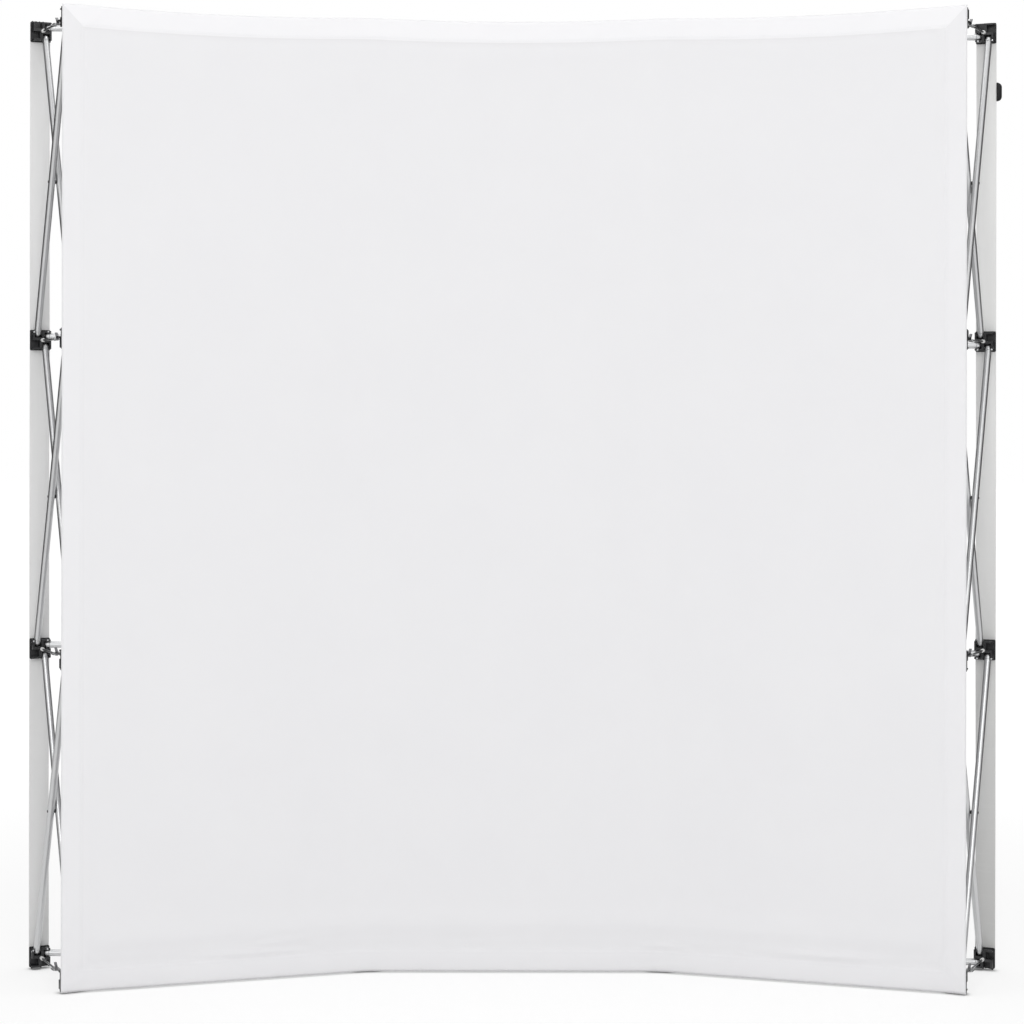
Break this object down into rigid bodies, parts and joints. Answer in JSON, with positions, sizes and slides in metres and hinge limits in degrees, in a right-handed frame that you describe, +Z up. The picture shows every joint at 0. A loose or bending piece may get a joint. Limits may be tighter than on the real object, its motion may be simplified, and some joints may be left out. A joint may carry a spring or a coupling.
{
  "type": "pop up display backwall",
  "caption": "Curved pop-up display backwall: a folding lattice of aluminium tubes and plastic hubs, held open by lock arms, with one stretched white fabric face.",
  "frame": {"origin": "on the floor, on the middle plane of the frame, half way between its front and its back", "axes": "+X to the viewer's right, +Y away from the viewer (the fabric faces -Y), +Z up"},
  "size_m": [2.3008, 0.4852, 2.246],
  "materials": {
    "aluminium_tube": "satin drawn tube, clear anodised",
    "black_plastic": "moulded black nylon, satin",
    "bright_steel": "bright zinc-plated wire",
    "dark_steel": "dark plated flat steel",
    "white_fabric": "knitted polyester, matt",
    "tape_fabric": "brushed loop tape",
    "pale_plastic": "flexible pale grey strip, satin"
  },
  "bodies": {
    "frame": {"upright_tubes_row1_column1": "aluminium_tube", "front_hub_row1_column1": "black_plastic", "rear_hub_row1_column1": "black_plastic", "upright_tubes_row1_column2": "aluminium_tube", "upright_tubes_row1_column3": "aluminium_tube", "upright_tubes_row1_column4": "aluminium_tube", "front_hub_row1_column4": "black_plastic", "rear_hub_row1_column4": "black_plastic", "level_tubes_row1_bay1": "aluminium_tube", "level_tubes_row1_bay3": "aluminium_tube", "centre_bay_row1": "aluminium_tube", "upright_tubes_row2_column1": "aluminium_tube", "front_hub_row2_column1": "black_plastic", "rear_hub_row2_column1": "black_plastic", "upright_tubes_row2_column2": "aluminium_tube", "upright_tubes_row2_column3": "aluminium_tube", "upright_tubes_row2_column4": "aluminium_tube", "front_hub_row2_column4": "black_plastic", "rear_hub_row2_column4": "black_plastic", "level_tubes_row2_bay1": "aluminium_tube", "level_tubes_row2_bay3": "aluminium_tube", "centre_bay_row2": "aluminium_tube", "upright_tubes_row3_column1": "aluminium_tube", "front_hub_row3_column1": "black_plastic", "rear_hub_row3_column1": "black_plastic", "upright_tubes_row3_column2": "aluminium_tube", "upright_tubes_row3_column3": "aluminium_tube", "upright_tubes_row3_column4": "aluminium_tube", "front_hub_row3_column4": "black_plastic", "rear_hub_row3_column4": "black_plastic", "level_tubes_row3_bay1": "aluminium_tube", "level_tubes_row3_bay3": "aluminium_tube", "centre_bay_row3": "aluminium_tube", "front_hub_row4_column1": "black_plastic", "rear_hub_row4_column1": "black_plastic", "front_hub_row4_column4": "black_plastic", "rear_hub_row4_column4": "black_plastic", "level_tubes_row4_bay1": "aluminium_tube", "level_tubes_row4_bay3": "aluminium_tube", "centre_bay_row4": "aluminium_tube", "fabric_face": "white_fabric", "end_strip_left": "pale_plastic", "end_strip_right": "pale_plastic", "strip_clip": "black_plastic"},
    "arm_row1_column1": {"lock_arm_row1_column1": "dark_steel"},
    "arm_row1_column2": {"lock_arm_row1_column2": "dark_steel"},
    "arm_row1_column3": {"lock_arm_row1_column3": "dark_steel"},
    "arm_row1_column4": {"lock_arm_row1_column4": "dark_steel"},
    "arm_row2_column1": {"lock_arm_row2_column1": "dark_steel"},
    "arm_row2_column2": {"lock_arm_row2_column2": "dark_steel"},
    "arm_row2_column3": {"lock_arm_row2_column3": "dark_steel"},
    "arm_row2_column4": {"lock_arm_row2_column4": "dark_steel"},
    "arm_row3_column1": {"lock_arm_row3_column1": "dark_steel"},
    "arm_row3_column2": {"lock_arm_row3_column2": "dark_steel"},
    "arm_row3_column3": {"lock_arm_row3_column3": "dark_steel"},
    "arm_row3_column4": {"lock_arm_row3_column4": "dark_steel"},
    "arm_row4_column1": {"lock_arm_row4_column1": "dark_steel"},
    "arm_row4_column2": {"lock_arm_row4_column2": "dark_steel"},
    "arm_row4_column3": {"lock_arm_row4_column3": "dark_steel"},
    "arm_row4_column4": {"lock_arm_row4_column4": "dark_steel"}
  },
  "joints": [
    {"name": "arm_swing_row1_column1", "type": "hinge", "parent": "frame", "child": "arm_row1_column1", "pos_m": [-1.01771, -0.20386, 0.02725], "axis": [0.9015, 0.4329, 0], "range_deg": [0, 60]},
    {"name": "arm_swing_row1_column2", "type": "hinge", "parent": "frame", "child": "arm_row1_column2", "pos_m": [-0.34954, 0.0017, 0.02725], "axis": [0.9889, 0.1487, 0], "range_deg": [0, 60]},
    {"name": "arm_swing_row1_column3", "type": "hinge", "parent": "frame", "child": "arm_row1_column3", "pos_m": [0.34954, 0.0017, 0.02725], "axis": [0.9889, -0.1487, 0], "range_deg": [0, 60]},
    {"name": "arm_swing_row1_column4", "type": "hinge", "parent": "frame", "child": "arm_row1_column4", "pos_m": [1.01771, -0.20386, 0.02725], "axis": [0.9015, -0.4329, 0], "range_deg": [0, 60]},
    {"name": "arm_swing_row2_column1", "type": "hinge", "parent": "frame", "child": "arm_row2_column1", "pos_m": [-1.01771, -0.20386, 0.75725], "axis": [0.9015, 0.4329, 0], "range_deg": [0, 60]},
    {"name": "arm_swing_row2_column2", "type": "hinge", "parent": "frame", "child": "arm_row2_column2", "pos_m": [-0.34954, 0.0017, 0.75725], "axis": [0.9889, 0.1487, 0], "range_deg": [0, 60]},
    {"name": "arm_swing_row2_column3", "type": "hinge", "parent": "frame", "child": "arm_row2_column3", "pos_m": [0.34954, 0.0017, 0.75725], "axis": [0.9889, -0.1487, 0], "range_deg": [0, 60]},
    {"name": "arm_swing_row2_column4", "type": "hinge", "parent": "frame", "child": "arm_row2_column4", "pos_m": [1.01771, -0.20386, 0.75725], "axis": [0.9015, -0.4329, 0], "range_deg": [0, 60]},
    {"name": "arm_swing_row3_column1", "type": "hinge", "parent": "frame", "child": "arm_row3_column1", "pos_m": [-1.01771, -0.20386, 1.48725], "axis": [0.9015, 0.4329, 0], "range_deg": [0, 60]},
    {"name": "arm_swing_row3_column2", "type": "hinge", "parent": "frame", "child": "arm_row3_column2", "pos_m": [-0.34954, 0.0017, 1.48725], "axis": [0.9889, 0.1487, 0], "range_deg": [0, 60]},
    {"name": "arm_swing_row3_column3", "type": "hinge", "parent": "frame", "child": "arm_row3_column3", "pos_m": [0.34954, 0.0017, 1.48725], "axis": [0.9889, -0.1487, 0], "range_deg": [0, 60]},
    {"name": "arm_swing_row3_column4", "type": "hinge", "parent": "frame", "child": "arm_row3_column4", "pos_m": [1.01771, -0.20386, 1.48725], "axis": [0.9015, -0.4329, 0], "range_deg": [0, 60]},
    {"name": "arm_swing_row4_column1", "type": "hinge", "parent": "frame", "child": "arm_row4_column1", "pos_m": [-1.01771, -0.20386, 2.21725], "axis": [0.9015, 0.4329, 0], "range_deg": [0, 60]},
    {"name": "arm_swing_row4_column2", "type": "hinge", "parent": "frame", "child": "arm_row4_column2", "pos_m": [-0.34954, 0.0017, 2.21725], "axis": [0.9889, 0.1487, 0], "range_deg": [0, 60]},
    {"name": "arm_swing_row4_column3", "type": "hinge", "parent": "frame", "child": "arm_row4_column3", "pos_m": [0.34954, 0.0017, 2.21725], "axis": [0.9889, -0.1487, 0], "range_deg": [0, 60]},
    {"name": "arm_swing_row4_column4", "type": "hinge", "parent": "frame", "child": "arm_row4_column4", "pos_m": [1.01771, -0.20386, 2.21725], "axis": [0.9015, -0.4329, 0], "range_deg": [0, 60]}
  ]
}
